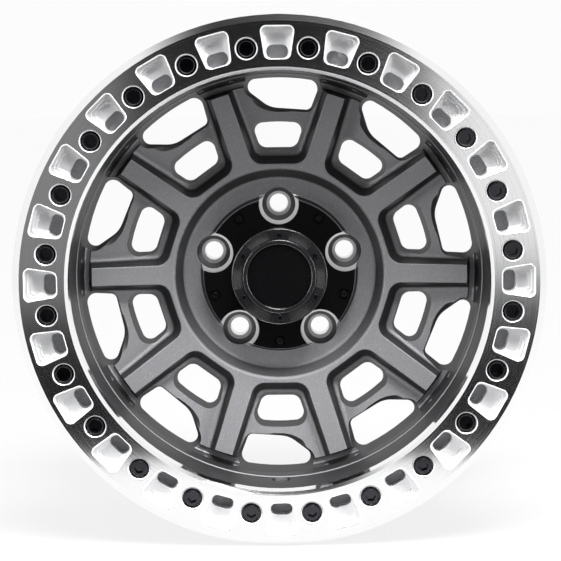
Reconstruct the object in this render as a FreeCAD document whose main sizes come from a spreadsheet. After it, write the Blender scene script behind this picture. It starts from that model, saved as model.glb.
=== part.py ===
import FreeCAD, Part
import math
import os
import Sketcher

# Driving dimensions of the wheel, in millimetres and degrees.
# Depths are measured back from the front face of the beadlock ring.
SIZES = {
    "pad_depth": 140,
    "hub_bore_radius": 35.75,
    "pad_radius": 78,
    "pad_side_depth": 126,
    "pad_side_flare": 1,
    "lug_count": 5,
    "lug_circle_radius": 63.5,
    "lug_hole_radius": 8.5,
    "lug_seat_radius": 11.25,
    "lug_seat_height": 4.8,
    "lug_pocket_radius": 15.25,
    "lug_pocket_depth": 112,
    "lug_scallop_radius": 18.6,
    "platform_radius": 70,
    "platform_foot": 2,
    "platform_depth": 91.2,
    "hub_floor_depth": 101,
    "hub_floor_radius": 87.6,
    "hub_step_radius": 96.4,
    "hub_step_depth": 88,
    "hub_round": 5,
    "pad_relief_depth": 14,
    "pad_relief_width": 20,
    "pad_relief_inner_radius": 50,
    "pad_relief_outer_radius": 72,
    "pad_relief_round": 6,
    "spoke_count": 10,
    "spoke_end_radius": 170.6,
    "spoke_end_depth": 69,
    "spoke_edge_round": 1.2,
    "gap_inner_radius": 109.5,
    "gap_inner_half_width": 20.5,
    "gap_outer_radius": 176.5,
    "gap_outer_half_width": 44.0,
    "gap_corner_round": 9,
    "gap_draft": 13,
    "gap_floor_round": 5.5,
    "web_depth": 101.5,
    "web_slope": 18,
    "valley_inner_radius": 173.6,
    "valley_outer_radius": 178.5,
    "valley_depth": 84,
    "valley_round": 3.2,
    "disc_back_rim_radius": 182.5,
    "disc_back_rim_depth": 99,
    "disc_back_mid_radius": 150,
    "disc_back_mid_depth": 103,
    "disc_back_hub_radius": 116,
    "disc_back_hub_depth": 113,
    "hub_back_radius": 92,
    "hub_back_depth": 121,
    "core_depth": 97,
    "core_inner_radius": 119,
    "core_outer_radius": 163,
    "core_inner_half_width": 6.5,
    "core_outer_half_width": 4,
    "core_round": 3,
    "core_draft": 8,
    "outer_window_top_radius": 179.4,
    "outer_window_top_left_angle": 12.1,
    "outer_window_top_right_angle": 12.7,
    "outer_window_bottom_right_radius": 152.3,
    "outer_window_bottom_right_angle": 11.2,
    "outer_window_bottom_left_radius": 152.4,
    "outer_window_bottom_left_angle": 2.8,
    "outer_window_tip_round": 7.2,
    "outer_window_right_round": 8.5,
    "outer_window_foot_round": 5.5,
    "outer_window_sweep_round": 24,
    "outer_window_draft": 14,
    "outer_window_back_depth": 97.5,
    "window_bevel_depth": 93,
    "window_bevel_start": 0.55,
    "window_bevel_end_angle": 4,
    "window_bevel_round": 3,
    "window_bevel_length": 14,
    "inner_window_top_radius": 138.3,
    "inner_window_top_half_angle": 9.9,
    "inner_window_bottom_radius": 116.4,
    "inner_window_bottom_half_angle": 8.2,
    "inner_window_top_round": 7.5,
    "inner_window_bottom_round": 8.5,
    "inner_window_draft": 13,
    "inner_window_back_depth": 109,
    "wall_foot_radius": 181.6,
    "wall_foot_depth": 78,
    "wall_groove_back_radius": 183.2,
    "wall_groove_back_depth": 61,
    "wall_groove_front_radius": 184.9,
    "wall_groove_front_depth": 42,
    "wall_groove_step": 0.9,
    "shelf_radius": 217.5,
    "bead_gap": 24,
    "inner_lock_radius": 230.5,
    "inner_lock_thickness": 9,
    "lip_round": 2.5,
    "well_radius": 198,
    "well_front_depth": 68,
    "well_back_depth": 112,
    "well_round": 9,
    "barrel_front_depth": 148,
    "barrel_radius": 211.5,
    "hump_radius": 219.8,
    "hump_depth": 208,
    "bead_seat_radius": 218.3,
    "bead_seat_front_depth": 215,
    "bead_seat_rise": 2.2,
    "inner_flange_depth": 242.6,
    "rim_back_depth": 254.6,
    "rim_radius": 235.5,
    "barrel_inner_radius": 204,
    "rim_back_inner_radius": 214,
    "seat_inner_radius": 209.5,
    "well_inner_radius": 190.5,
    "well_inner_depth": 117,
    "valve_depth": 52,
    "valve_hole_radius": 5.75,
    "valve_face_radius": 8.25,
    "valve_face_level": 187.2,
    "ring_thickness": 20,
    "ring_bore_radius": 186.6,
    "ring_bore_chamfer": 2.9,
    "ring_flange_thickness": 13,
    "ring_boss_radius": 216.5,
    "ring_bevel_radius": 229.4,
    "ring_bevel_depth": 5.2,
    "bolt_count": 24,
    "bolt_circle_radius": 207,
    "bolt_radius": 4.76,
    "bolt_length": 34,
    "bolt_head_radius": 7.15,
    "bolt_head_height": 9.5,
    "bolt_head_chamfer": 0.9,
    "bolt_socket_flats": 7.94,
    "bolt_socket_depth": 5.2,
    "counterbore_radius": 9.1,
    "counterbore_depth": 12,
    "counterbore_chamfer": 1.1,
    "bolt_clearance": 0.4,
    "washer_radius": 8.7,
    "washer_thickness": 1.6,
    "insert_radius": 6.35,
    "insert_length": 16,
    "insert_clearance": 0.1,
    "insert_drill_depth": 50,
    "pocket_outer_radius": 225.6,
    "pocket_outer_half_width": 15.8,
    "pocket_inner_radius": 195.6,
    "pocket_inner_half_width": 11.4,
    "pocket_outer_round": 5.4,
    "pocket_inner_round": 5.8,
    "pocket_lip": 1.0,
    "pocket_step_inset": 2.4,
    "pocket_step_depth": 3.6,
    "slot_half_length": 9.6,
    "slot_radius": 6.1,
    "slot_round": 5.6,
    "slot_centre_radius": 202.6,
    "cap_radius": 69.3,
    "cap_thickness": 3.2,
    "cap_notch_radius": 18.2,
    "cap_drum_radius": 43.5,
    "cap_drum_wall": 4,
    "cap_drum_depth": 66,
    "cap_screw_circle_radius": 61.8,
    "cap_screw_head_radius": 2.9,
    "cap_screw_head_height": 3,
    "cap_screw_head_chamfer": 0.4,
    "cap_screw_radius": 1.75,
    "cap_screw_length": 12,
    "cap_screw_flats": 2.9,
    "cap_recess_radius": 4.8,
    "cap_recess_depth": 1.4,
    "cap_recess_mouth_share": 0.9,
    "screw_clearance": 0.2,
    "bezel_land_depth": 61,
    "bezel_crown_depth": 59,
    "bezel_bore_radius": 29.2,
    "bezel_crown_radius": 33.4,
    "bezel_slot_inner_radius": 34.2,
    "bezel_slot_outer_radius": 42.3,
    "bezel_slot_half_angle": 16.5,
    "bezel_slot_round": 0.7,
    "bezel_slot_depth": 3.6,
    "bezel_screw_count": 6,
    "bezel_screw_circle_radius": 37.4,
    "bezel_screw_head_radius": 2.6,
    "bezel_screw_head_height": 2.4,
    "bezel_screw_head_chamfer": 0.4,
    "bezel_screw_radius": 1.5,
    "bezel_screw_length": 7.5,
    "bezel_tap_spare": 1,
    "bezel_screw_flats": 2.4,
    "disc_radius": 28.9,
    "disc_thickness": 4.2,
    "disc_edge": 0.8,
}

AXIS_X, AXIS_Y = -1, -2
POINT_START, POINT_END, POINT_CENTRE = 1, 2, 3
WINDOW_REACH = 24
CUT_REACH = 40
OVERRUN = 1
POCKET_STEPS = 3
WEB_MARGIN = 6
ANGLE_MATCH = 1e-4
FLAT_CONE = math.radians(60)

doc = FreeCAD.newDocument("BeadlockWheel")
sheet = doc.addObject("Spreadsheet::Sheet", "dims")
for row, (alias, number) in enumerate(SIZES.items(), start=1):
    sheet.set(f"A{row}", alias)
    sheet.set(f"B{row}", str(number))
    sheet.setAlias(f"B{row}", alias)
doc.recompute()


class Size:
    """A number together with the sheet expression that gives it."""

    def __init__(self, value, text):
        self.value = float(value)
        self.text = text

    def __add__(self, other):
        other = as_size(other)
        return Size(self.value + other.value, f"({self.text} + {other.text})")

    def __sub__(self, other):
        other = as_size(other)
        return Size(self.value - other.value, f"({self.text} - {other.text})")

    def __mul__(self, other):
        other = as_size(other)
        return Size(self.value * other.value, f"({self.text} * {other.text})")

    def __truediv__(self, other):
        other = as_size(other)
        return Size(self.value / other.value, f"({self.text} / {other.text})")

    def __neg__(self):
        return Size(-self.value, f"(-1 * {self.text})")


def as_size(number):
    return number if isinstance(number, Size) else Size(number, str(number))


class Sizes:
    """Gives every cell of the sheet as a Size."""

    def __getattr__(self, alias):
        return Size(SIZES[alias], f"dims.{alias}")


d = Sizes()
ZERO = as_size(0)
CHAMFER_ANGLE = as_size(45)
half_bolt = as_size(180) / d.bolt_count
half_lug = as_size(180) / d.lug_count
half_spoke = as_size(180) / d.spoke_count


def sine(angle):
    return Size(math.sin(math.radians(angle.value)), f"sin({angle.text} * 1 deg)")


def cosine(angle):
    return Size(math.cos(math.radians(angle.value)), f"cos({angle.text} * 1 deg)")


def polar(radius, angle):
    """A point at a radius and an angle clockwise from the top."""
    return radius * sine(angle), radius * cosine(angle)


def behind(depth):
    """Distance along the wheel's axis, from the mounting pad, of a depth behind the ring's face."""
    return depth - d.pad_depth


def new_body(label):
    body = doc.addObject("PartDesign::Body", label)
    body.Label = label
    body.AllowCompound = True
    return body


def origin(body, role):
    return next(item for item in body.Origin.OriginFeatures if item.Role == role)


class Drawing:
    """A sketch on one of a body's origin planes, fully held by named sizes."""

    def __init__(self, body, name, plane, lift=None, tilt=None, turn=None):
        self.sketch = body.newObject("Sketcher::SketchObject", name)
        self.sketch.AttachmentSupport = [(origin(body, plane), "")]
        self.sketch.MapMode = "FlatFace"
        axis = FreeCAD.Vector(1, 0, 0)
        angle = tilt.value if tilt else 0
        if turn:
            axis, angle = FreeCAD.Vector(0, 0, 1), turn.value
        base = FreeCAD.Vector(0, 0, lift.value if lift else 0)
        self.sketch.AttachmentOffset = FreeCAD.Placement(base, FreeCAD.Rotation(axis, angle))
        if lift:
            self.sketch.setExpression("AttachmentOffset.Base.z", lift.text)
        if tilt or turn:
            self.sketch.setExpression("AttachmentOffset.Rotation.Angle", (tilt or turn).text)
        self.rules = []
        self.sizes = {}

    def rule(self, kind, *where):
        """Notes a constraint that has no size."""
        self.rules.append(Sketcher.Constraint(kind, *where))

    def bind(self, kind, where, size):
        """Notes a constraint whose size comes from the sheet."""
        self.sizes[len(self.rules)] = size.text
        self.rule(kind, *where, size.value)

    def settle(self):
        """Adds the noted constraints to the sketch together and binds their sizes."""
        first = self.sketch.ConstraintCount
        self.sketch.addConstraint(self.rules)
        for index, text in self.sizes.items():
            self.sketch.setExpression(f"Constraints[{first + index}]", text)
        self.rules, self.sizes = [], {}
        return self

    def hold(self, item, point, x, y):
        """Holds a point of a line or a circle at sheet coordinates."""
        for kind, axis, size in (("DistanceX", AXIS_Y, x), ("DistanceY", AXIS_X, y)):
            if size.text == ZERO.text:
                self.rule("PointOnObject", item, point, axis)
            else:
                self.bind(kind, (item, point), size)

    def circle(self, x, y, radius):
        centre = FreeCAD.Vector(x.value, y.value, 0)
        item = self.sketch.addGeometry(Part.Circle(centre, FreeCAD.Vector(0, 0, 1), radius.value))
        self.hold(item, POINT_CENTRE, x, y)
        self.bind("Radius", (item,), radius)
        return self.settle()

    def outline(self, corners, arcs=()):
        """Draws a closed outline through corners (x, y, round).

        A side whose index is in arcs runs concentric with the wheel's axis, the others are straight.
        """
        places = [FreeCAD.Vector(x.value, y.value, 0) for x, y, _ in corners]
        count = len(corners)
        joints = [round_corner(places, i, as_size(corners[i][2] or 0).value, arcs) for i in range(count)]
        sides = [self.side(joints, i, i in arcs) for i in range(count)]
        for i, (x, y, rounding) in enumerate(corners):
            before, after = sides[i - 1], sides[i]
            if rounding is None:
                self.rule("Coincident", before[0], before[2], after[0], after[1])
                self.hold(after[0], after[1], x, y)
                continue
            arc, first, last = self.arc(*joints[i])
            self.rule("Tangent", before[0], before[2], arc, first)
            self.rule("Tangent", arc, last, after[0], after[1])
            self.bind("Radius", (arc,), rounding)
            self.hold_corner(i, x, y, before, after, i - 1 if i else count - 1, arcs, places[i])
        for i in arcs:
            self.rule("Coincident", sides[i][0], POINT_CENTRE, AXIS_X, POINT_START)
            x, y, _ = corners[i]
            self.bind("Radius", (sides[i][0],), Size(math.hypot(x.value, y.value),
                                                     f"sqrt({x.text} ^ 2 + {y.text} ^ 2)"))
        return self.settle()

    def hold_corner(self, i, x, y, before, after, before_index, arcs, place):
        """Holds the point where two rounded sides would meet."""
        mark = self.sketch.addGeometry(Part.Point(place), True)
        self.hold(mark, POINT_START, x, y)
        for index, side in ((before_index, before), (i, after)):
            if index not in arcs:
                self.rule("PointOnObject", mark, POINT_START, side[0])

    def side(self, joints, i, concentric):
        start, end = joints[i][2], joints[(i + 1) % len(joints)][1]
        if not concentric:
            return self.sketch.addGeometry(Part.LineSegment(start, end)), POINT_START, POINT_END
        return self.arc(FreeCAD.Vector(), start, end)

    def arc(self, centre, start, end):
        """Draws the shorter arc between two points and gives its point numbers, start first."""
        angles = [math.atan2(p.y - centre.y, p.x - centre.x) for p in (start, end)]
        forward = (angles[1] - angles[0]) % (2 * math.pi) < math.pi
        first, last = angles if forward else reversed(angles)
        circle = Part.Circle(centre, FreeCAD.Vector(0, 0, 1), centre.distanceToPoint(start))
        item = self.sketch.addGeometry(Part.ArcOfCircle(circle, first, last))
        return (item, POINT_START, POINT_END) if forward else (item, POINT_END, POINT_START)


def round_corner(places, i, radius, arcs):
    """Centre and tangent points of the round at a corner."""
    count = len(places)
    corner, before, after = places[i], places[i - 1], places[(i + 1) % count]
    if radius == 0:
        return None, corner, corner
    turn = (corner - before).cross(after - corner).z
    up = FreeCAD.Vector(0, 0, math.copysign(1, turn))

    def offset_line(start, end):
        normal = up.cross(end - start).normalize()
        return start + normal * radius, end - start, normal

    if (i - 1) % count not in arcs and i not in arcs:
        p, u, normal_in = offset_line(before, corner)
        q, v, normal_out = offset_line(corner, after)
        along = (q - p).cross(v).z / u.cross(v).z
        centre = p + u * along
        return centre, centre - normal_in * radius, centre - normal_out * radius
    arc_first = (i - 1) % count in arcs
    line = (corner, after) if arc_first else (before, corner)
    p, u, normal = offset_line(*line)
    u.normalize()
    outside = corner.Length > sum(place.Length for place in places) / count
    reach = corner.Length - radius if outside else corner.Length + radius
    along = p.dot(u)
    root = math.sqrt(along ** 2 - p.Length ** 2 + reach ** 2)
    choices = [p + u * (-along + sign * root) for sign in (1, -1)]
    centre = min(choices, key=corner.distanceToPoint)
    on_arc = centre * (corner.Length / centre.Length)
    on_line = centre - normal * radius
    return (centre, on_arc, on_line) if arc_first else (centre, on_line, on_arc)


def feature(body, kind, name, **sizes):
    """Adds a feature to a body, with its sizes bound to the sheet."""
    item = body.newObject(f"PartDesign::{kind}", name)
    for prop, size in sizes.items():
        if isinstance(size, Size):
            setattr(item, prop, size.value)
            item.setExpression(prop, size.text)
        else:
            setattr(item, prop, size)
    return item


def revolve(body, name, drawing, kind="Revolution", axis="H_Axis"):
    item = feature(body, kind, name, Profile=drawing.sketch, Angle=360)
    item.ReferenceAxis = (drawing.sketch, [axis])
    doc.recompute()
    return item


def cut(body, name, drawing, length, backwards=True, draft=None):
    """Cuts a drawing backwards into the wheel, or forwards out of its front."""
    item = feature(body, "Pocket", name, Profile=drawing.sketch, Length=length, Reversed=not backwards)
    if draft:
        item.TaperAngle = draft.value
        item.setExpression("TaperAngle", draft.text)
    doc.recompute()
    return item


def pattern(body, name, features, count):
    """Repeats features round the wheel's axis."""
    item = feature(body, "PolarPattern", name, Originals=features, Angle=360)
    item.Axis = (origin(body, "Y_Axis"), [""])
    item.setExpression("Occurrences", count.text)
    body.Tip = item
    doc.recompute()
    return item


def dress(body, kind, name, base, edges, **sizes):
    """Rounds or chamfers some edges of a feature."""
    item = feature(body, kind, name, **sizes)
    names = [f"Edge{i}" for i, edge in enumerate(base.Shape.Edges, start=1) if edge.hashCode() in edges]
    item.Base = (base, names)
    body.Tip = item
    doc.recompute()
    return item


def axis_distance(edge):
    """Mean distance of an edge from the wheel's axis."""
    points = edge.discretize(5)
    return sum(math.hypot(p.x, p.z) for p in points) / len(points)


def edges_of_floor(shape):
    """Edges at the foot of the gap walls, round the tilted floors between the spokes."""
    lean = math.cos(math.radians(d.web_slope.value))
    floors = [f for f in shape.Faces if isinstance(f.Surface, Part.Plane)
              and abs(abs(f.Surface.Axis.y) - lean) < ANGLE_MATCH]
    near = (d.gap_inner_radius.value + 2 * d.spoke_end_radius.value) / 3
    return {e.hashCode() for f in floors for e in f.Edges if axis_distance(e) < near + WEB_MARGIN}


def edges_of_crown(shape):
    """Edges along the spokes' flat tops, without the hub's step and the spokes' outer ends."""
    flat = [f for f in shape.Faces if isinstance(f.Surface, Part.Cone)
            and abs(f.Surface.SemiAngle) > FLAT_CONE and f.BoundBox.ZMax < d.spoke_end_radius.value + OVERRUN]
    crown = min(flat, key=lambda f: f.BoundBox.YMin)
    low, high = d.hub_step_radius.value + WEB_MARGIN, d.spoke_end_radius.value - WEB_MARGIN
    return {e.hashCode() for e in crown.Edges if low < axis_distance(e) < high}


def turned(*points):
    """Corners of a turned section from (depth, radius, round)."""
    return [(behind(depth), radius, rounding) for depth, radius, rounding in points]


def hexagon(x, y, flats):
    """Corners of a hexagon across flats."""
    reach = flats / math.sqrt(3)
    angles = [as_size(60 * i) for i in range(6)]
    return [(x + reach * sine(a), y + reach * cosine(a), None) for a in angles]


def build_wheel_body():
    body = new_body("wheel_body")
    turn_casting(body)
    cut_lug_seats(body)
    drill_screw_seats(body)
    hollow_back(body)
    drill_valve(body)
    cut_spoke_gaps(body)
    cut_windows(body)
    return body


def turn_casting(body):
    """Rim, barrel, disc and hub as one turned section."""
    face = d.ring_thickness
    lock_front = face + d.bead_gap - (face - d.ring_flange_thickness)
    lock_back = lock_front + d.inner_lock_thickness
    section = turned(
        (face, d.ring_bore_radius, None),
        (face, d.shelf_radius, d.lip_round),
        (lock_front, d.shelf_radius, d.lip_round),
        (lock_front, d.inner_lock_radius, d.lip_round),
        (lock_back, d.inner_lock_radius, d.lip_round),
        (d.well_front_depth, d.well_radius, d.well_round),
        (d.well_back_depth, d.well_radius, d.well_round),
        (d.barrel_front_depth, d.barrel_radius, d.well_round),
        (d.hump_depth - d.well_round, d.barrel_radius, None),
        (d.hump_depth, d.hump_radius, d.lip_round),
        (d.bead_seat_front_depth, d.bead_seat_radius, None),
        (d.inner_flange_depth, d.bead_seat_radius + d.bead_seat_rise, d.lip_round * 2),
        (d.inner_flange_depth, d.rim_radius, d.lip_round),
        (d.rim_back_depth, d.rim_radius, d.lip_round * 2),
        (d.rim_back_depth, d.rim_back_inner_radius, d.lip_round),
        (d.inner_flange_depth, d.seat_inner_radius, d.well_round),
        (d.bead_seat_front_depth, d.seat_inner_radius, d.well_round),
        (d.hump_depth - d.well_round * 2, d.barrel_inner_radius, d.well_round),
        (d.barrel_front_depth, d.barrel_inner_radius, d.well_round),
        (d.well_inner_depth, d.well_inner_radius, d.well_round),
        (d.disc_back_rim_depth, d.disc_back_rim_radius, None),
        (d.disc_back_mid_depth, d.disc_back_mid_radius, None),
        (d.disc_back_hub_depth, d.disc_back_hub_radius, d.well_round),
        (d.hub_back_depth, d.hub_back_radius, d.hub_round),
        (d.pad_side_depth, d.pad_radius + d.pad_side_flare, d.lip_round),
        (d.pad_depth, d.pad_radius, d.lip_round),
        (d.pad_depth, d.hub_bore_radius, None),
        (d.platform_depth, d.hub_bore_radius, None),
        (d.platform_depth, d.platform_radius, None),
        (d.hub_floor_depth, d.platform_radius + d.platform_foot, d.lip_round),
        (d.hub_floor_depth, d.hub_floor_radius, d.hub_round),
        (d.hub_step_depth, d.hub_step_radius, d.hub_round),
        (d.spoke_end_depth, d.spoke_end_radius, None),
        (d.valley_depth, d.valley_inner_radius, d.valley_round / 2),
        (d.valley_depth, d.valley_outer_radius, d.valley_round / 2),
        (d.wall_foot_depth, d.wall_foot_radius, d.valley_round),
        (d.wall_groove_back_depth, d.wall_groove_back_radius, None),
        (d.wall_groove_back_depth - d.wall_groove_step, d.wall_groove_back_radius + d.wall_groove_step, None),
        (d.wall_groove_front_depth, d.wall_groove_front_radius + d.wall_groove_step / 2, None),
        (d.wall_groove_front_depth - d.wall_groove_step, d.wall_groove_front_radius, None),
    )
    revolve(body, "casting", Drawing(body, "casting_section", "YZ_Plane").outline(section))


def cut_spoke_gaps(body):
    """Drafted gaps between the spokes, with floors that slope forward towards the rim."""
    web = Drawing(body, "gap_outline", "XZ_Plane", lift=-behind(d.web_depth)
                  - d.gap_inner_radius * sine(d.web_slope) / cosine(d.web_slope), tilt=d.web_slope)
    stretch = as_size(1) / cosine(d.web_slope)
    inner, outer = d.gap_inner_radius * stretch, d.gap_outer_radius * stretch
    web.outline([
        (-d.gap_inner_half_width, inner, d.gap_corner_round),
        (d.gap_inner_half_width, inner, d.gap_corner_round),
        (d.gap_outer_half_width, outer, None),
        (-d.gap_outer_half_width, outer, None),
    ])
    gap = cut(body, "spoke_gap", web, as_size(CUT_REACH), backwards=False, draft=d.gap_draft)
    gaps = pattern(body, "spoke_gaps", [gap], d.spoke_count)
    floors = dress(body, "Fillet", "web_rounds", gaps, edges_of_floor(gaps.Shape), Radius=d.gap_floor_round)
    dress(body, "Fillet", "spoke_rounds", floors, edges_of_crown(floors.Shape), Radius=d.spoke_edge_round)


def cut_windows(body):
    """One lopsided window and one small window through each web."""
    outer_window = Drawing(body, "outer_window_outline", "XZ_Plane", lift=-behind(d.outer_window_back_depth))
    outer_window.outline([
        (*polar(d.outer_window_top_radius, -d.outer_window_top_left_angle), d.outer_window_tip_round),
        (*polar(d.outer_window_top_radius, d.outer_window_top_right_angle), d.outer_window_right_round),
        (*polar(d.outer_window_bottom_right_radius, d.outer_window_bottom_right_angle),
         d.outer_window_foot_round),
        (*polar(d.outer_window_bottom_left_radius, -d.outer_window_bottom_left_angle),
         d.outer_window_sweep_round),
    ], arcs=(0,))
    inner_window = Drawing(body, "inner_window_outline", "XZ_Plane", lift=-behind(d.inner_window_back_depth))
    inner_window.outline([
        (*polar(d.inner_window_top_radius, -d.inner_window_top_half_angle), d.inner_window_top_round),
        (*polar(d.inner_window_top_radius, d.inner_window_top_half_angle), d.inner_window_top_round),
        (*polar(d.inner_window_bottom_radius, d.inner_window_bottom_half_angle), d.inner_window_bottom_round),
        (*polar(d.inner_window_bottom_radius, -d.inner_window_bottom_half_angle),
         d.inner_window_bottom_round),
    ], arcs=(0,))
    reach = as_size(WINDOW_REACH)
    cuts = []
    for name, drawing, draft in (("outer_window", outer_window, d.outer_window_draft),
                                 ("inner_window", inner_window, d.inner_window_draft)):
        cuts.append(cut(body, f"{name}_front", drawing, reach, backwards=False, draft=draft))
        cuts.append(cut(body, f"{name}_back", drawing, reach))
    tip = polar(d.outer_window_top_radius, -d.outer_window_top_left_angle)
    foot = polar(d.outer_window_bottom_left_radius, -d.outer_window_bottom_left_angle)
    start = [t + (f - t) * d.window_bevel_start for t, f in zip(tip, foot)]
    end = polar(d.outer_window_bottom_right_radius, d.window_bevel_end_angle)
    bevel = Drawing(body, "window_bevel_outline", "XZ_Plane", lift=-behind(d.window_bevel_depth))
    bevel.outline([
        (*start, d.window_bevel_round),
        (end[0], start[1], d.window_bevel_round),
        (*end, d.window_bevel_round),
        (*foot, d.outer_window_sweep_round),
    ])
    cuts.append(cut(body, "window_bevel", bevel, d.window_bevel_length, backwards=False, draft=CHAMFER_ANGLE))
    pattern(body, "windows", cuts, d.spoke_count)


def cut_lug_seats(body):
    """Wheel nut pockets with conical seats."""
    lug = Drawing(body, "lug_section", "YZ_Plane")
    far = d.lug_circle_radius
    lug.outline([
        (behind(d.platform_depth), far, None),
        (behind(d.platform_depth), far + d.lug_scallop_radius, None),
        (behind(d.hub_floor_depth), far + d.lug_pocket_radius, None),
        (behind(d.lug_pocket_depth), far + d.lug_pocket_radius, None),
        (behind(d.lug_pocket_depth), far + d.lug_seat_radius, None),
        (behind(d.lug_pocket_depth + d.lug_seat_height), far + d.lug_hole_radius, None),
        (as_size(OVERRUN), far + d.lug_hole_radius, None),
        (as_size(OVERRUN), far, None),
    ])
    lug_line = lug.sketch.addGeometry(Part.LineSegment(FreeCAD.Vector(-d.pad_depth.value, far.value, 0),
                                                       FreeCAD.Vector(0, far.value, 0)), True)
    lug.hold(lug_line, POINT_START, -d.pad_depth, far)
    lug.hold(lug_line, POINT_END, ZERO, far)
    lug.settle()
    lug_cut = revolve(body, "lug_seat", lug, kind="Groove", axis="Axis0")
    pattern(body, "lug_seats", [lug_cut], d.lug_count)


def drill_screw_seats(body):
    """Bores for the ring's thread inserts and for the cap's screws."""
    face = d.ring_thickness
    bolt_place = polar(d.bolt_circle_radius, half_bolt)
    bore = Drawing(body, "insert_bore", "XZ_Plane", lift=-behind(face))
    bore.circle(*bolt_place, d.insert_radius + d.insert_clearance)
    drill = Drawing(body, "insert_drill", "XZ_Plane", lift=-behind(face))
    drill.circle(*bolt_place, d.bolt_radius + d.bolt_clearance)
    seats = [cut(body, "insert_seat", bore, d.insert_length),
             cut(body, "insert_tip", drill, d.insert_drill_depth - face)]
    pattern(body, "insert_seats", seats, d.bolt_count)

    screw = Drawing(body, "cap_screw_place", "XZ_Plane", lift=-behind(d.platform_depth))
    screw.circle(*polar(d.cap_screw_circle_radius, half_lug), d.cap_screw_radius + d.screw_clearance)
    tap = cut(body, "cap_screw_hole", screw, d.cap_screw_length)
    pattern(body, "cap_screw_holes", [tap], d.lug_count)


def hollow_back(body):
    """Reliefs in the mounting pad and cores behind the spokes."""
    relief = Drawing(body, "pad_relief_outline", "XZ_Plane")
    half = d.pad_relief_width / 2
    relief.outline([
        (-half, -d.pad_relief_inner_radius, d.pad_relief_round),
        (half, -d.pad_relief_inner_radius, d.pad_relief_round),
        (half, -d.pad_relief_outer_radius, d.pad_relief_round),
        (-half, -d.pad_relief_outer_radius, d.pad_relief_round),
    ])
    scoop = cut(body, "pad_relief", relief, d.pad_relief_depth, backwards=False)
    pattern(body, "pad_reliefs", [scoop], d.lug_count)

    core = Drawing(body, "spoke_core_outline", "XZ_Plane", lift=-behind(d.core_depth), turn=half_spoke)
    core.outline([
        (-d.core_inner_half_width, d.core_inner_radius, d.core_round),
        (d.core_inner_half_width, d.core_inner_radius, d.core_round),
        (d.core_outer_half_width, d.core_outer_radius, d.core_round),
        (-d.core_outer_half_width, d.core_outer_radius, d.core_round),
    ])
    cored = cut(body, "spoke_core", core, as_size(CUT_REACH), draft=d.core_draft)
    pattern(body, "spoke_cores", [cored], d.spoke_count)


def drill_valve(body):
    """The valve hole through the dish wall, with a spot face round it."""
    face_mark = Drawing(body, "valve_face_place", "XY_Plane")
    face_mark.circle(ZERO, behind(d.valve_depth), d.valve_face_radius)
    cut(body, "valve_face", face_mark, d.valve_face_level)
    valve = Drawing(body, "valve_place", "XY_Plane")
    valve.circle(ZERO, behind(d.valve_depth), d.valve_hole_radius)
    body.Tip = cut(body, "valve_hole", valve, d.rim_radius)
    doc.recompute()


def pocket_outline(inset):
    """Corners of a ring pocket, drawn in from its mouth by an inset on the outer side and the flanks."""
    low, high = d.pocket_inner_radius + d.pocket_lip, d.pocket_outer_radius - inset
    inner, outer = d.pocket_inner_half_width - inset, d.pocket_outer_half_width - inset
    inner_round, outer_round = d.pocket_inner_round - d.pocket_lip, d.pocket_outer_round - d.pocket_lip
    return [
        (-inner, low, inner_round),
        (inner, low, inner_round),
        (outer, high, outer_round),
        (-outer, high, outer_round),
    ]


def build_ring():
    body = new_body("beadlock_ring")
    section = turned(
        (ZERO, d.ring_bore_radius + d.ring_bore_chamfer, None),
        (ZERO, d.ring_bevel_radius, None),
        (d.ring_bevel_depth, d.rim_radius, d.lip_round / 2),
        (d.ring_flange_thickness, d.rim_radius, d.lip_round),
        (d.ring_flange_thickness, d.ring_boss_radius, None),
        (d.ring_thickness, d.ring_boss_radius, None),
        (d.ring_thickness, d.ring_bore_radius, None),
        (d.ring_bore_chamfer, d.ring_bore_radius, None),
    )
    revolve(body, "ring_blank", Drawing(body, "ring_section", "YZ_Plane").outline(section))
    bolt_place = polar(d.bolt_circle_radius, half_bolt)
    front = -behind(ZERO)
    bore = Drawing(body, "counterbore_place", "XZ_Plane", lift=front)
    bore.circle(*bolt_place, d.counterbore_radius)
    hole = Drawing(body, "bolt_hole_place", "XZ_Plane", lift=front)
    hole.circle(*bolt_place, d.bolt_radius + d.bolt_clearance)
    mouth = Drawing(body, "counterbore_mouth", "XZ_Plane", lift=front - d.counterbore_chamfer)
    mouth.circle(*bolt_place, d.counterbore_radius)
    cuts = [cut(body, "counterbore", bore, d.counterbore_depth),
            cut(body, "bolt_hole", hole, d.ring_thickness),
            cut(body, "counterbore_lead", mouth, d.counterbore_chamfer, backwards=False, draft=CHAMFER_ANGLE)]
    pattern(body, "bolt_seats", cuts, d.bolt_count)

    cuts = []
    for step in range(POCKET_STEPS):
        inset = d.pocket_lip + d.pocket_step_inset * step
        level = Drawing(body, f"pocket_step_outline_{step}", "XZ_Plane",
                        lift=front - d.pocket_step_depth * (step + 1))
        level.outline(pocket_outline(inset))
        cuts.append(cut(body, f"pocket_step_{step}", level, d.pocket_step_depth * (step + 2),
                        backwards=False))
    lip = Drawing(body, "pocket_lip_outline", "XZ_Plane", lift=front - d.pocket_lip)
    lip.outline(pocket_outline(d.pocket_lip))
    cuts.append(cut(body, "pocket_lip", lip, d.pocket_lip, backwards=False, draft=CHAMFER_ANGLE))
    slot = Drawing(body, "slot_outline", "XZ_Plane", lift=front)
    low, high = d.slot_centre_radius - d.slot_radius, d.slot_centre_radius + d.slot_radius
    slot.outline([
        (-d.slot_half_length, low, d.slot_round),
        (d.slot_half_length, low, d.slot_round),
        (d.slot_half_length, high, d.slot_round),
        (-d.slot_half_length, high, d.slot_round),
    ])
    cuts.append(cut(body, "slot", slot, d.ring_thickness))
    pattern(body, "pockets", cuts, d.bolt_count)
    return body


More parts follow.
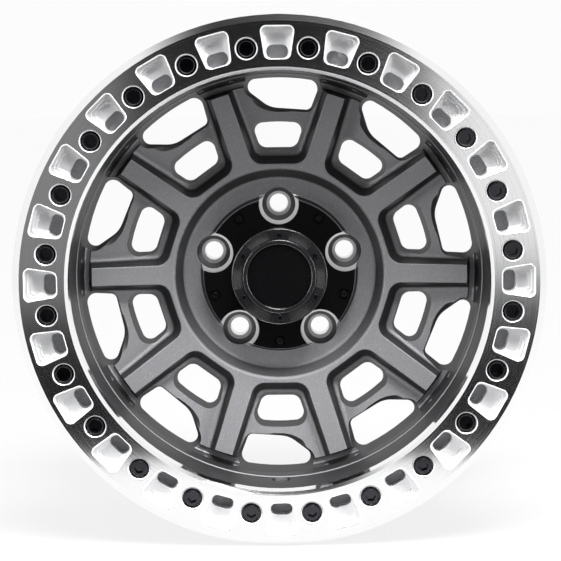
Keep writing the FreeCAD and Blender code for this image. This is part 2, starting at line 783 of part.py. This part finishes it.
def build_screws(label, count, circle, angle, seat, head, shank, socket):
    """Socket screws round the wheel's axis, from the depth of the face that their heads bear on."""
    body = new_body(label)
    head_radius, head_height, chamfer = head
    radius, length = shank
    flats, socket_depth = socket
    x, y = polar(circle, angle)
    bearing = -behind(seat)
    crown = Drawing(body, f"{label}_head_outline", "XZ_Plane", lift=bearing)
    crown.circle(x, y, head_radius)
    pad = feature(body, "Pad", f"{label}_head", Profile=crown.sketch, Length=head_height - chamfer)
    doc.recompute()
    rim = Drawing(body, f"{label}_rim_outline", "XZ_Plane", lift=bearing + head_height - chamfer)
    rim.circle(x, y, head_radius)
    edge = feature(body, "Pad", f"{label}_rim", Profile=rim.sketch, Length=chamfer,
                   TaperAngle=-CHAMFER_ANGLE)
    doc.recompute()
    stem = Drawing(body, f"{label}_shank_outline", "XZ_Plane", lift=bearing)
    stem.circle(x, y, radius)
    rod = feature(body, "Pad", f"{label}_shank", Profile=stem.sketch, Length=length, Reversed=True)
    doc.recompute()
    key = Drawing(body, f"{label}_socket_outline", "XZ_Plane", lift=bearing + head_height)
    key.outline(hexagon(x, y, flats))
    recess = cut(body, f"{label}_socket", key, socket_depth)
    pattern(body, f"{label}_round", [pad, edge, rod, recess], count)
    return body


def build_discs(label, count, circle, angle, seat, thickness, outer, inner):
    """Flat rings round the wheel's axis, standing forward of a seat."""
    body = new_body(label)
    x, y = polar(circle, angle)
    flat = Drawing(body, f"{label}_outline", "XZ_Plane", lift=-behind(seat))
    flat.circle(x, y, outer)
    flat.circle(x, y, inner)
    pad = feature(body, "Pad", f"{label}_ring", Profile=flat.sketch, Length=thickness)
    doc.recompute()
    pattern(body, f"{label}_round", [pad], count)
    return body


def build_cap_base():
    body = new_body("cap_base")
    top = d.platform_depth - d.cap_thickness
    cavity = d.cap_drum_radius - d.cap_drum_wall
    section = turned(
        (d.platform_depth, d.cap_radius, None),
        (d.platform_depth, cavity, None),
        (d.cap_drum_depth + d.cap_drum_wall, cavity, None),
        (d.cap_drum_depth + d.cap_drum_wall, ZERO, None),
        (d.cap_drum_depth, ZERO, None),
        (d.cap_drum_depth, d.cap_drum_radius, None),
        (top, d.cap_drum_radius, None),
        (top, d.cap_radius, None),
    )
    revolve(body, "cap_blank", Drawing(body, "cap_section", "YZ_Plane").outline(section))
    notch = Drawing(body, "cap_notch_outline", "XZ_Plane", lift=-behind(top))
    notch.circle(ZERO, d.lug_circle_radius, d.cap_notch_radius)
    hole = Drawing(body, "cap_screw_outline", "XZ_Plane", lift=-behind(top))
    place = polar(d.cap_screw_circle_radius, half_lug)
    hole.circle(*place, d.cap_screw_radius + d.screw_clearance)
    recess = Drawing(body, "cap_recess_outline", "XZ_Plane", lift=-behind(top))
    recess.circle(*place, d.cap_recess_radius)
    mouth = Drawing(body, "cap_recess_mouth", "XZ_Plane", lift=-behind(top), turn=half_lug)
    side, edge = d.cap_recess_radius * d.cap_recess_mouth_share, d.cap_radius + d.cap_recess_depth
    mouth.outline([
        (-side, d.cap_screw_circle_radius, None),
        (side, d.cap_screw_circle_radius, None),
        (side, edge, None),
        (-side, edge, None),
    ])
    cuts = [cut(body, "cap_notch", notch, d.cap_thickness),
            cut(body, "cap_screw_way", hole, d.cap_thickness),
            cut(body, "cap_recess", recess, d.cap_recess_depth),
            cut(body, "cap_recess_way", mouth, d.cap_recess_depth)]
    pattern(body, "cap_notches", cuts, d.lug_count)
    tap = Drawing(body, "bezel_tap_outline", "XZ_Plane", lift=-behind(d.cap_drum_depth))
    tap.circle(ZERO, d.bezel_screw_circle_radius, d.bezel_screw_radius + d.screw_clearance)
    taps = [cut(body, "bezel_tap", tap, d.bezel_screw_length - d.cap_drum_depth + d.bezel_land_depth
                + d.bezel_tap_spare)]
    pattern(body, "bezel_taps", taps, d.bezel_screw_count)
    return body


def build_cap_bezel():
    body = new_body("cap_bezel")
    section = turned(
        (d.cap_drum_depth, d.bezel_bore_radius, None),
        (d.cap_drum_depth, d.cap_drum_radius, None),
        (d.bezel_land_depth, d.cap_drum_radius, d.disc_edge),
        (d.bezel_land_depth, d.bezel_crown_radius, None),
        (d.bezel_crown_depth, d.bezel_crown_radius, d.disc_edge),
        (d.bezel_crown_depth, d.bezel_bore_radius, d.disc_edge),
    )
    revolve(body, "bezel_blank", Drawing(body, "bezel_section", "YZ_Plane").outline(section))
    slot = Drawing(body, "bezel_slot_outline", "XZ_Plane", lift=-behind(d.bezel_land_depth),
                   turn=as_size(180) / d.bezel_screw_count)
    slot.outline([
        (*polar(d.bezel_slot_outer_radius, -d.bezel_slot_half_angle), d.bezel_slot_round),
        (*polar(d.bezel_slot_outer_radius, d.bezel_slot_half_angle), d.bezel_slot_round),
        (*polar(d.bezel_slot_inner_radius, d.bezel_slot_half_angle), d.bezel_slot_round),
        (*polar(d.bezel_slot_inner_radius, -d.bezel_slot_half_angle), d.bezel_slot_round),
    ], arcs=(0, 2))
    hole = Drawing(body, "bezel_screw_outline", "XZ_Plane", lift=-behind(d.bezel_land_depth))
    hole.circle(ZERO, d.bezel_screw_circle_radius, d.bezel_screw_radius + d.screw_clearance)
    cuts = [cut(body, "bezel_slot", slot, d.bezel_slot_depth),
            cut(body, "bezel_screw_way", hole, d.cap_drum_depth - d.bezel_land_depth)]
    pattern(body, "bezel_slots", cuts, d.bezel_screw_count)
    return body


def build_cap_disc():
    body = new_body("cap_disc")
    face = d.cap_drum_depth - d.disc_thickness
    section = turned(
        (d.cap_drum_depth, ZERO, None),
        (d.cap_drum_depth, d.disc_radius, None),
        (face, d.disc_radius, d.disc_edge),
        (face, ZERO, None),
    )
    revolve(body, "disc_blank", Drawing(body, "disc_section", "YZ_Plane").outline(section))
    return body


washer_front = d.counterbore_depth - d.washer_thickness
recess_floor = d.platform_depth - d.cap_thickness + d.cap_recess_depth
parts = [
    build_wheel_body(),
    build_ring(),
    build_screws("ring_bolts", d.bolt_count, d.bolt_circle_radius, half_bolt, washer_front,
                 (d.bolt_head_radius, d.bolt_head_height, d.bolt_head_chamfer),
                 (d.bolt_radius, d.bolt_length), (d.bolt_socket_flats, d.bolt_socket_depth)),
    build_discs("ring_washers", d.bolt_count, d.bolt_circle_radius, half_bolt, d.counterbore_depth,
                d.washer_thickness, d.washer_radius, d.bolt_radius + d.bolt_clearance),
    build_discs("thread_inserts", d.bolt_count, d.bolt_circle_radius, half_bolt,
                d.ring_thickness + d.insert_length, d.insert_length, d.insert_radius,
                d.bolt_radius + d.insert_clearance),
    build_cap_base(),
    build_screws("cap_base_screws", d.lug_count, d.cap_screw_circle_radius, half_lug, recess_floor,
                 (d.cap_screw_head_radius, d.cap_screw_head_height, d.cap_screw_head_chamfer),
                 (d.cap_screw_radius, d.cap_screw_length), (d.cap_screw_flats, d.cap_recess_depth)),
    build_cap_bezel(),
    build_screws("cap_bezel_screws", d.bezel_screw_count, d.bezel_screw_circle_radius, ZERO,
                 d.bezel_land_depth,
                 (d.bezel_screw_head_radius, d.bezel_screw_head_height, d.bezel_screw_head_chamfer),
                 (d.bezel_screw_radius, d.bezel_screw_length), (d.bezel_screw_flats, d.cap_recess_depth)),
    build_cap_disc(),
]
doc.recompute()

for item in doc.Objects:
    if "Invalid" in item.State or "Error" in item.State:
        raise RuntimeError(f"{item.Name} failed: {item.State}")
for body in parts:
    if body.Shape.isNull() or not body.Shape.isValid():
        raise RuntimeError(f"{body.Label} has no valid shape")
    print(body.Label, len(body.Shape.Solids), "solids,", round(body.Shape.Volume), "mm3")

os.makedirs("parts", exist_ok=True)
for body in parts:
    body.Shape.exportStep(os.path.join("parts", f"{body.Label}.step"))
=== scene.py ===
"""Dresses the beadlock wheel: finishes, studio and camera around the fixed frame."""
import functools
import logging
import math
from dataclasses import dataclass, field
from typing import Any

import bmesh
import bpy
from mathutils import Euler, Matrix, Vector

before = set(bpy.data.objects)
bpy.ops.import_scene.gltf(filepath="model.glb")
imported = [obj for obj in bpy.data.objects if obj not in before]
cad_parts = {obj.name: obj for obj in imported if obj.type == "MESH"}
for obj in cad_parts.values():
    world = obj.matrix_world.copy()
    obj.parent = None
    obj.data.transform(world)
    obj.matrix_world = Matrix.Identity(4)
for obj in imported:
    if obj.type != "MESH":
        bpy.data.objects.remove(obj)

LOG = logging.getLogger("wheel")
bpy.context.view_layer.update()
IMAGE_PIXELS = 561
MM = 0.001
NOISE_SPREAD = (0.3, 0.7)


def linear(hex_colour: str) -> tuple[float, float, float, float]:
    """Turns an sRGB hex colour into linear light.

    Args:
        hex_colour: Six hex digits after a hash sign.

    Returns:
        Linear red, green, blue and an alpha of one.
    """
    channels = [int(hex_colour[i:i + 2], 16) / 255 for i in (1, 3, 5)]
    light = [c / 12.92 if c <= 0.04045 else ((c + 0.055) / 1.055) ** 2.4 for c in channels]
    return (light[0], light[1], light[2], 1.0)


def add_node(tree: bpy.types.NodeTree, kind: str, inputs: dict[Any, Any] | None = None,
             **settings: Any) -> bpy.types.Node:
    """Adds a node with its settings, and sets or links its inputs.

    Args:
        tree: The node tree that gets the node.
        kind: The node's Blender type.
        inputs: Values or output sockets for the node's inputs, by name or index.
        settings: Properties of the node itself.

    Returns:
        The new node.
    """
    node = tree.nodes.new(kind)
    for name, value in settings.items():
        setattr(node, name, value)
    for key, value in (inputs or {}).items():
        if isinstance(value, bpy.types.NodeSocket):
            tree.links.new(value, node.inputs[key])
        else:
            node.inputs[key].default_value = value
    return node


def calculate(tree: bpy.types.NodeTree, operation: str, *values: Any) -> bpy.types.NodeSocket:
    """Adds one step of arithmetic.

    Args:
        tree: The node tree.
        operation: The Math node's operation.
        values: Numbers or sockets that go in.

    Returns:
        The result's socket.
    """
    node = add_node(tree, "ShaderNodeMath", dict(enumerate(values)), operation=operation)
    return node.outputs[0]


def remap(tree: bpy.types.NodeTree, value: bpy.types.NodeSocket, target: tuple[float, float],
          source: tuple[float, float] = (0.0, 1.0), smooth: bool = False) -> bpy.types.NodeSocket:
    """Maps a value from one range to another.

    Args:
        tree: The node tree.
        value: The socket that goes in.
        target: What the ends of the source range become.
        source: The range that goes in.
        smooth: Whether the change eases in and out.

    Returns:
        The mapped value's socket.
    """
    node = add_node(tree, "ShaderNodeMapRange", {
        "Value": value, "From Min": source[0], "From Max": source[1],
        "To Min": target[0], "To Max": target[1]},
        interpolation_type="SMOOTHSTEP" if smooth else "LINEAR")
    return node.outputs[0]


def noise(tree: bpy.types.NodeTree, grain_mm: float, detail: float) -> bpy.types.NodeSocket:
    """Adds noise that is fixed to the object.

    Args:
        tree: The node tree.
        grain_mm: The size of one grain, in millimetres.
        detail: How many finer layers are added.

    Returns:
        The noise's socket.
    """
    coordinates = add_node(tree, "ShaderNodeTexCoord").outputs["Object"]
    node = add_node(tree, "ShaderNodeTexNoise", {
        "Vector": coordinates, "Scale": 1 / (grain_mm * MM), "Detail": detail})
    return node.outputs[0]


def wheel_radius(tree: bpy.types.NodeTree) -> tuple[
        bpy.types.NodeSocket, bpy.types.Node, bpy.types.Node]:
    """Distance from the spin axis, in metres.

    Args:
        tree: The node tree.

    Returns:
        The radius socket, the coordinate node and the split coordinates.
    """
    coordinates = add_node(tree, "ShaderNodeTexCoord")
    split = add_node(tree, "ShaderNodeSeparateXYZ", {0: coordinates.outputs["Object"]})
    across = calculate(tree, "MULTIPLY", split.outputs["X"], split.outputs["X"])
    upward = calculate(tree, "MULTIPLY", split.outputs["Z"], split.outputs["Z"])
    return calculate(tree, "SQRT", calculate(tree, "ADD", across, upward)), coordinates, split


def recess_mask(tree: bpy.types.NodeTree, level: float,
                radii: tuple[float, float]) -> bpy.types.NodeSocket:
    """Marks what lies behind a level, between two radii.

    Args:
        tree: The node tree.
        level: The front face's place along the spin axis, in metres.
        radii: The inner and outer radius of the recesses, in metres.

    Returns:
        A socket that is one inside the recesses.
    """
    radius, _, split = wheel_radius(tree)
    below = calculate(tree, "GREATER_THAN", split.outputs["Y"], level)
    inside = calculate(tree, "LESS_THAN", radius, radii[1])
    outside = calculate(tree, "GREATER_THAN", radius, radii[0])
    return calculate(tree, "MULTIPLY", below, calculate(tree, "MULTIPLY", inside, outside))


@dataclass(frozen=True)
class Finish:
    """A finish with its base colour and gloss."""

    name: str
    colour: str
    roughness: float
    metallic: float = 0.0
    sheen: float = 0.5

    def start(self) -> tuple[bpy.types.Material, bpy.types.NodeTree, bpy.types.Node]:
        """Makes an empty material with its shader.

        Returns:
            The material, its node tree and its shader node.
        """
        material = bpy.data.materials.new(self.name)
        material.use_nodes = True
        tree = material.node_tree
        tree.nodes.clear()
        shader = add_node(tree, "ShaderNodeBsdfPrincipled", {
            "Base Color": linear(self.colour), "Roughness": self.roughness,
            "Metallic": self.metallic, "Specular IOR Level": self.sheen})
        add_node(tree, "ShaderNodeOutputMaterial", {"Surface": shader.outputs[0]})
        return material, tree, shader

    def material(self) -> bpy.types.Material:
        """Builds the finish as a material."""
        return self.start()[0]


@dataclass(frozen=True)
class TurnedAluminium(Finish):
    """Bare aluminium faced on a lathe, with milled pockets.

    The face gives dark, sharp reflections drawn out across its fine rings. The pockets keep
    coarser tool marks, which scatter the light and look pale.
    """

    pocket_level: float = -139.6 * MM
    pocket_radii: tuple[float, float] = (192.0 * MM, 228.0 * MM)
    ring_spacing_mm: float = 1.1
    tool_mark_mm: float = 2.2
    bump_strengths: tuple[float, float] = (0.0133, 0.8)
    bump_height: float = 0.15 * MM
    gloss_change: tuple[float, float] = (-0.02, 0.04)
    milled_roughness: float = 0.42
    milled_metallic: float = 0.82
    grain_stretch: float = 0.4

    def material(self) -> bpy.types.Material:
        """Builds the turned and milled metal."""
        material, tree, shader = self.start()
        radius, coordinates, _ = wheel_radius(tree)
        milled = recess_mask(tree, self.pocket_level, self.pocket_radii)
        rings = add_node(tree, "ShaderNodeTexNoise", {
            "W": calculate(tree, "DIVIDE", radius, self.ring_spacing_mm * MM),
            "Scale": 1.0, "Detail": 3.0, "Roughness": 0.6}, noise_dimensions="1D")
        marks = noise(tree, self.tool_mark_mm, detail=2.0)
        height = add_node(tree, "ShaderNodeMix", {
            "Factor": milled, "A": rings.outputs[0], "B": marks})
        bump = add_node(tree, "ShaderNodeBump", {
            "Height": height.outputs[0], "Strength": remap(tree, milled, self.bump_strengths),
            "Distance": self.bump_height})
        low, high = (self.roughness + change for change in self.gloss_change)
        gloss = remap(tree, rings.outputs[0], (low, high), NOISE_SPREAD)
        rough = add_node(tree, "ShaderNodeMix", {
            "Factor": milled, "A": gloss, "B": self.milled_roughness})
        around = add_node(tree, "ShaderNodeVectorMath", {
            0: coordinates.outputs["Object"], 1: (0.0, 1.0, 0.0)}, operation="CROSS_PRODUCT")
        links = {
            "Normal": bump.outputs[0], "Roughness": rough.outputs[0], "Tangent": around.outputs[0],
            "Anisotropic": remap(tree, milled, (self.grain_stretch, 0.0)),
            "Metallic": remap(tree, milled, (self.metallic, self.milled_metallic))}
        for name, socket in links.items():
            tree.links.new(socket, shader.inputs[name])
        return material


@dataclass(frozen=True)
class GunmetalPowderCoat(Finish):
    """Matte metallic powder coat: a soft grey with a fine sparkle. Painted shade darkens it where
    it slants away from the camera, standing in for the shade on the steep walls of the hub step and
    other recesses; only a little of it is the coat's own metallic flop.

    The machined lug seats are bare metal.
    """

    dark_shade: str = "#67676a"
    flake_shade: str = "#9a9a9d"
    shade_places: tuple[float, float, float] = (0.3, 0.66, 0.76)
    # Painted shade: how far a face slants from the camera before its colour darkens, and how dark
    # it gets.
    painted_shade_slants: tuple[float, float] = (0.1, 0.46)
    painted_shade_dark: float = 0.15
    flake_mm: float = 0.7
    peel_mm: float = 1.6
    peel_strength: float = 0.1
    peel_height: float = 0.04 * MM
    metal_colour: str = "#e6e6e6"
    metal_roughness: float = 0.3
    lug_circle: float = 63.5 * MM
    lug_count: int = 5
    seat_radius: float = 11.4 * MM
    seat_level: float = -28.6 * MM
    scallop_radius: float = 18.9 * MM
    scallop_level: float = -39.2 * MM

    def lug_mask(self, tree: bpy.types.NodeTree) -> bpy.types.NodeSocket:
        """Marks the machined lug seats, holes and scallops, which carry no paint.

        Args:
            tree: The node tree.

        Returns:
            A socket that is one on bare metal.
        """
        radius, _, split = wheel_radius(tree)
        turn = 2 * math.pi / self.lug_count
        angle = calculate(tree, "ARCTAN2", split.outputs["X"], split.outputs["Z"])
        steps = calculate(tree, "ROUND", calculate(tree, "DIVIDE", angle, turn))
        folded = calculate(tree, "SUBTRACT", angle, calculate(tree, "MULTIPLY", steps, turn))
        along = calculate(tree, "MULTIPLY", radius, calculate(tree, "COSINE", folded))
        along = calculate(tree, "SUBTRACT", along, self.lug_circle)
        aside = calculate(tree, "MULTIPLY", radius, calculate(tree, "SINE", folded))
        squares = [calculate(tree, "MULTIPLY", side, side) for side in (along, aside)]
        distance = calculate(tree, "SQRT", calculate(tree, "ADD", *squares))
        depth = split.outputs["Y"]
        seat = calculate(tree, "MULTIPLY",
                         calculate(tree, "LESS_THAN", distance, self.seat_radius),
                         calculate(tree, "GREATER_THAN", depth, self.seat_level))
        scallop = calculate(tree, "MULTIPLY",
                            calculate(tree, "LESS_THAN", distance, self.scallop_radius),
                            calculate(tree, "LESS_THAN", depth, self.scallop_level))
        return calculate(tree, "MAXIMUM", seat, scallop)

    def material(self) -> bpy.types.Material:
        """Builds the coated metal."""
        material, tree, shader = self.start()
        flake = noise(tree, self.flake_mm, detail=1.0)
        tone = add_node(tree, "ShaderNodeValToRGB", {"Fac": flake})
        ramp = tone.color_ramp.elements
        ramp.new(self.shade_places[1])
        shades = (self.dark_shade, self.colour, self.flake_shade)
        for element, place, shade in zip(ramp, self.shade_places, shades):
            element.position = place
            element.color = linear(shade)
        bare = self.lug_mask(tree)
        # Painted shade: faces that slant away from the camera are darkened, standing in for shade
        # on steep recess walls.
        slant = add_node(tree, "ShaderNodeLayerWeight", {"Blend": 0.5}).outputs["Facing"]
        painted_shade = remap(tree, slant, (1.0, self.painted_shade_dark), self.painted_shade_slants, smooth=True)
        coat = add_node(tree, "ShaderNodeMix", {
            "Factor": 1.0, "A": tone.outputs[0], "B": painted_shade}, data_type="RGBA",
            blend_type="MULTIPLY")
        colour = add_node(tree, "ShaderNodeMix", {
            "Factor": bare, "A": coat.outputs["Result"], "B": linear(self.metal_colour)},
            data_type="RGBA")
        bump = add_node(tree, "ShaderNodeBump", {
            "Height": noise(tree, self.peel_mm, detail=2.0), "Strength": self.peel_strength,
            "Distance": self.peel_height})
        links = {
            "Base Color": colour.outputs["Result"], "Normal": bump.outputs[0],
            "Metallic": remap(tree, bare, (self.metallic, 1.0)),
            "Roughness": remap(tree, bare, (self.roughness, self.metal_roughness))}
        for name, socket in links.items():
            tree.links.new(socket, shader.inputs[name])
        return material


@dataclass(frozen=True)
class FineGrainFinish(Finish):
    """A dark finish with a fine moulded or oxide grain that breaks up its sheen."""

    grain_mm: float = 0.5
    grain_strength: float = 0.12
    grain_height: float = 0.04 * MM
    gloss_change: tuple[float, float] = (-0.05, 0.08)

    def material(self) -> bpy.types.Material:
        """Builds the grained finish."""
        material, tree, shader = self.start()
        grain = noise(tree, self.grain_mm, detail=3.0)
        bump = add_node(tree, "ShaderNodeBump", {
            "Height": grain, "Strength": self.grain_strength, "Distance": self.grain_height})
        tree.links.new(bump.outputs[0], shader.inputs["Normal"])
        low, high = (self.roughness + change for change in self.gloss_change)
        gloss = remap(tree, grain, (low, high), NOISE_SPREAD)
        tree.links.new(gloss, shader.inputs["Roughness"])
        return material


@dataclass(frozen=True)
class SlottedPlastic(FineGrainFinish):
    """Polished plastic whose slot floors are painted a paler colour, a painted reflection standing
    in for the light the slots catch.
    """

    # Painted reflection: the paler colour given to the slot floors.
    slot_painted_reflection_colour: str = "#353536"
    slot_level: float = -78.6 * MM
    slot_radii: tuple[float, float] = (33.9 * MM, 42.5 * MM)

    def material(self) -> bpy.types.Material:
        """Builds the plastic and paints a paler reflection colour into its slots."""
        material = super().material()
        tree = material.node_tree
        shader = tree.nodes["Principled BSDF"]
        # Painted reflection: the slots get a paler base colour for the light they catch.
        colour = add_node(tree, "ShaderNodeMix", {
            "Factor": recess_mask(tree, self.slot_level, self.slot_radii),
            "A": linear(self.colour), "B": linear(self.slot_painted_reflection_colour)}, data_type="RGBA")
        tree.links.new(colour.outputs["Result"], shader.inputs["Base Color"])
        return material


@functools.cache
def material_of(finish: Finish) -> bpy.types.Material:
    """Builds each finish once, so nodes with the same finish share its material.

    Args:
        finish: The finish.

    Returns:
        Its material.
    """
    return finish.material()


@dataclass
class SubAssembly:
    """CAD nodes of one sub-assembly, each with its finish."""

    label: str
    finishes: dict[str, Finish]

    def dress(self) -> None:
        """Gives every node its finish."""
        for name, finish in self.finishes.items():
            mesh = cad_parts[name].data
            mesh.materials.clear()
            mesh.materials.append(material_of(finish))
            LOG.info("%s: %s in %s", self.label, name, finish.name)


@dataclass(frozen=True)
class SoftBox:
    """A rectangular studio lamp that faces the wheel."""

    name: str
    place: tuple[float, float, float]
    size: tuple[float, float]
    watts: float

    def build(self) -> None:
        """Hangs the lamp."""
        data = bpy.data.lights.new(self.name, "AREA")
        data.shape = "RECTANGLE"
        data.size, data.size_y = self.size
        data.energy = self.watts
        lamp = bpy.data.objects.new(self.name, data)
        bpy.context.scene.collection.objects.link(lamp)
        lamp.location = self.place
        lamp.rotation_euler = (-Vector(self.place)).to_track_quat("-Z", "Y").to_euler()


@dataclass
class Studio:
    """Pale floor, soft lights, white surround and the camera."""

    floor_level: float = -0.2355
    floor_reach: float = 8.0
    floor_front: float = 0.59
    floor_colour: str = "#c4c4c4"
    floor_glow: str = "#fefefe"
    floor_whites: tuple[float, float] = (0.84, 0.955)
    shadow_reach: tuple[float, float] = (0.35, 1.1)
    surround_colour: str = "#fcfcfc"
    room_edges: tuple[float, float] = (-0.75, -0.1)
    room_dark: float = 0.012
    ceiling_edges: tuple[float, float] = (0.8, 0.96)
    ceiling_dark: float = 0.03
    fill_light: float = 0.45
    back_light: float = 0.8
    light_edges: tuple[float, float] = (0.0, 0.4)
    lamps: tuple[SoftBox, ...] = (
        SoftBox("key", (0.3, -1.2, 2.0), (1.2, 0.9), 130),
        SoftBox("side_left", (-1.5, -0.9, 0.25), (0.5, 1.0), 20),
        SoftBox("side_right", (1.5, -0.9, 0.25), (0.5, 1.0), 20),
        SoftBox("card_right", (0.47, -2.6, 0.0), (0.34, 0.46), 0.45),
        SoftBox("card_left", (-0.47, -2.6, -0.04), (0.34, 0.5), 0.12),
    )
    camera_distance: float = 2.0
    camera_elevation: float = math.radians(5.6)
    camera_roll: float = math.radians(-0.55)
    focal_pixels: float = 2275.0
    sensor_mm: float = 36.0
    target: Vector = field(default_factory=lambda: Vector((0.0, -0.140, 0.0)))
    target_pixel: tuple[float, float] = (279.5, 283.1)

    def build_camera(self) -> None:
        """Places the camera at the photograph's viewing angle."""
        data = bpy.data.cameras.new("camera")
        data.sensor_width = self.sensor_mm
        data.lens = self.focal_pixels * self.sensor_mm / IMAGE_PIXELS
        data.shift_x = (IMAGE_PIXELS / 2 - self.target_pixel[0]) / IMAGE_PIXELS
        data.shift_y = (self.target_pixel[1] - IMAGE_PIXELS / 2) / IMAGE_PIXELS
        camera = bpy.data.objects.new("camera", data)
        bpy.context.scene.collection.objects.link(camera)
        reach = Vector((0.0, -math.cos(self.camera_elevation), math.sin(self.camera_elevation)))
        tilt = Euler((math.pi / 2 - self.camera_elevation, 0.0, 0.0)).to_matrix().to_4x4()
        roll = Matrix.Rotation(self.camera_roll, 4, "Z")
        place = Matrix.Translation(self.target + reach * self.camera_distance)
        camera.matrix_world = place @ tilt @ roll
        bpy.context.scene.camera = camera

    def build_floor(self) -> None:
        """Lays the pale floor, which takes a soft shadow only near the wheel."""
        mesh = bpy.data.meshes.new("floor")
        bm = bmesh.new()
        bmesh.ops.create_grid(bm, x_segments=1, y_segments=1, size=self.floor_reach)
        bmesh.ops.translate(bm, verts=bm.verts, vec=(
            0.0, self.floor_reach - self.floor_front, self.floor_level))
        bm.to_mesh(mesh)
        bm.free()
        floor = bpy.data.objects.new("floor", mesh)
        bpy.context.scene.collection.objects.link(floor)
        material = bpy.data.materials.new("white studio floor")
        material.use_nodes = True
        tree = material.node_tree
        tree.nodes.clear()
        card = add_node(tree, "ShaderNodeBsdfDiffuse", {"Color": linear(self.floor_colour)})
        white = add_node(tree, "ShaderNodeEmission", {
            "Color": linear(self.floor_glow), "Strength": 1.0})
        place = add_node(tree, "ShaderNodeTexCoord").outputs["Object"]
        distance = add_node(tree, "ShaderNodeVectorMath", {0: place}, operation="LENGTH")
        whiteness = remap(tree, distance.outputs["Value"], self.floor_whites, self.shadow_reach,
                          smooth=True)
        mixed = add_node(tree, "ShaderNodeMixShader", {
            0: calculate(tree, "MULTIPLY", self.seen(tree), whiteness),
            1: card.outputs[0], 2: white.outputs[0]})
        add_node(tree, "ShaderNodeOutputMaterial", {"Surface": mixed.outputs[0]})
        mesh.materials.append(material)

    def seen(self, tree: bpy.types.NodeTree) -> bpy.types.NodeSocket:
        """Tells rays that show the background from rays that light the wheel.

        Args:
            tree: The node tree.

        Returns:
            A socket that is one for camera, glossy and transmission rays.
        """
        path = add_node(tree, "ShaderNodeLightPath")
        seen = calculate(
            tree, "MAXIMUM", path.outputs["Is Camera Ray"], path.outputs["Is Glossy Ray"])
        return calculate(tree, "MAXIMUM", seen, path.outputs["Is Transmission Ray"])

    def build_world(self) -> None:
        """Surrounds the wheel with white, and puts a dark room in front for the metal to mirror."""
        world = bpy.data.worlds.new("studio")
        world.use_nodes = True
        tree = world.node_tree
        tree.nodes.clear()
        direction = add_node(tree, "ShaderNodeTexCoord").outputs["Generated"]
        split = add_node(tree, "ShaderNodeSeparateXYZ", {0: direction})
        room = remap(tree, split.outputs["Y"], (self.room_dark, 1.0), self.room_edges, smooth=True)
        ceiling = remap(tree, split.outputs["Z"], (1.0, self.ceiling_dark), self.ceiling_edges,
                        smooth=True)
        light = remap(tree, split.outputs["Y"], (self.fill_light, self.back_light),
                      self.light_edges, smooth=True)
        mirrored = add_node(tree, "ShaderNodeMix", {
            "Factor": self.seen(tree), "A": light,
            "B": calculate(tree, "MULTIPLY", room, ceiling)})
        path = add_node(tree, "ShaderNodeLightPath")
        level = calculate(tree, "MAXIMUM", mirrored.outputs[0], path.outputs["Is Camera Ray"])
        glow = add_node(tree, "ShaderNodeBackground", {
            "Color": linear(self.surround_colour), "Strength": level})
        add_node(tree, "ShaderNodeOutputWorld", {"Surface": glow.outputs[0]})
        bpy.context.scene.world = world

    def build(self) -> None:
        """Builds the whole studio."""
        self.build_camera()
        self.build_floor()
        self.build_world()
        for lamp in self.lamps:
            lamp.build()
        bpy.context.scene.view_settings.view_transform = "Standard"


def main() -> None:
    """Dresses the wheel and builds the studio."""
    logging.basicConfig(level=logging.INFO)
    steel = FineGrainFinish(
        "black oxide steel", "#444448", 0.14, 1.0, grain_mm=0.4, grain_strength=0.05)
    screws = FineGrainFinish(
        "black screw steel", "#4a4a4e", 0.22, 1.0, grain_mm=0.3, grain_strength=0.05)
    assemblies = (
        SubAssembly("casting", {
            "wheel_body": GunmetalPowderCoat("gunmetal powder coat", "#747476", 0.5, 0.25),
            "thread_inserts": FineGrainFinish("plain steel", "#9a9a9a", 0.35, 1.0)}),
        SubAssembly("beadlock", {
            "beadlock_ring": TurnedAluminium("turned aluminium", "#f6f6f7", 0.1, 1.0),
            "ring_bolts": steel, "ring_washers": steel}),
        SubAssembly("hub cap", {
            "cap_base": FineGrainFinish("satin black ABS", "#040405", 0.55, sheen=0.06),
            "cap_base_screws": screws,
            "cap_bezel": SlottedPlastic(
                "polished black ABS", "#101012", 0.22, grain_strength=0.05, sheen=1.0),
            "cap_bezel_screws": screws,
            "cap_disc": FineGrainFinish(
                "gloss black ABS", "#050506", 0.2, grain_strength=0.05, sheen=0.4)}),
    )
    for assembly in assemblies:
        assembly.dress()
    Studio().build()


if __name__ == "__main__":
    main()
